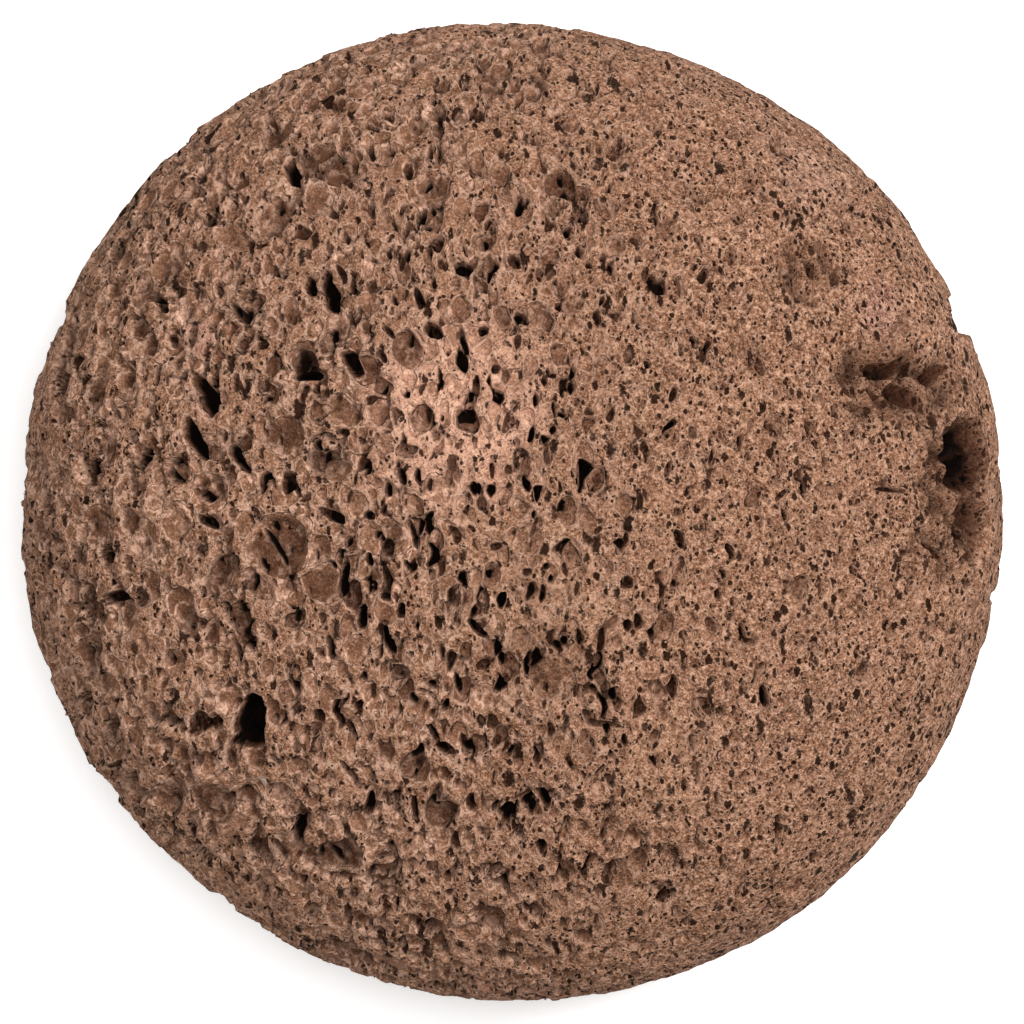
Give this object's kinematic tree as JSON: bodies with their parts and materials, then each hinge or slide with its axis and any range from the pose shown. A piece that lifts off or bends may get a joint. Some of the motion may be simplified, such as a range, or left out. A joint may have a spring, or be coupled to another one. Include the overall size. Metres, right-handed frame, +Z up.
{
  "type": "pumice stone",
  "caption": "Hand-sized rubbing stone of reddish-brown volcanic pumice, worn to a rounded flattened pebble, with coarse open gas holes on one side and fine ones on the other",
  "frame": {"origin": "Centre of the outline seen from above, on the plane of the flat-worn underside that the stone rests on", "axes": "+Z is up through the thickness, out of the crown; +X points to the squarer-shouldered side with fine holes, -X to the rounder side with coarse holes; +Y completes a right-handed set"},
  "size_m": [0.08, 0.0798, 0.0466],
  "materials": {
    "pumice": "dry, matt, rough foam of volcanic glass, reddish brown with paler rims around its gas holes and dark hollows"
  },
  "bodies": {
    "root": {"pumice_stone": "pumice"}
  },
  "joints": []
}
